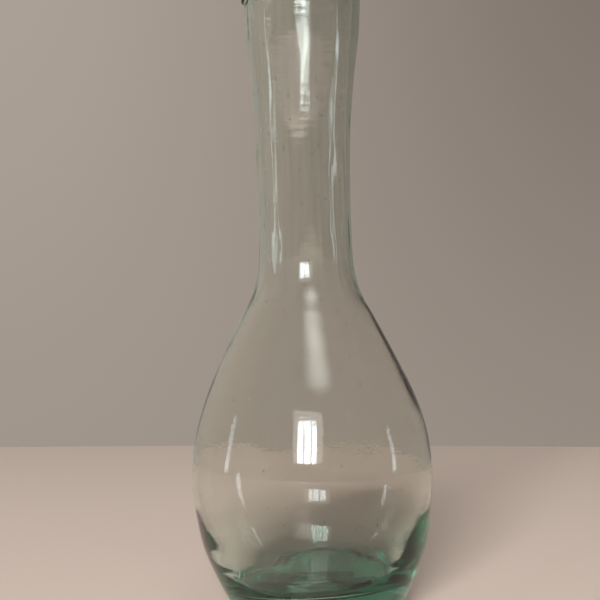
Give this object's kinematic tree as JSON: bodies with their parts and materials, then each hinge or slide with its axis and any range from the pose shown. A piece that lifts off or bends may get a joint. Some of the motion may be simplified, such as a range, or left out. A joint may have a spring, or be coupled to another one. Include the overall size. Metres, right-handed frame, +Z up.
{
  "type": "blown glass flask",
  "caption": "Upright hand-blown glass flask: round body on a heavy teal base, long slightly flared neck and a thick rolled lip.",
  "frame": {"origin": "on the surface that the flask stands on, under the middle of the body at its widest", "axes": "+Z up out of the mouth; +X towards the side where the lip is higher, and away from the lean; -Y towards the viewer"},
  "size_m": [0.1124, 0.1124, 0.2988],
  "materials": {
    "wall_glass": "clear, glossy, slightly rippled, with seeds and drawn streaks",
    "base_glass": "thick teal-green glass, glossy, with seeds",
    "lip_glass": "deep teal, fire-polished",
    "scar_glass": "rough broken glass"
  },
  "bodies": {
    "root": {"base": "base_glass", "body": "wall_glass", "shoulder": "wall_glass", "neck": "wall_glass", "lip": "lip_glass", "pontil_scar": "scar_glass"}
  },
  "joints": []
}
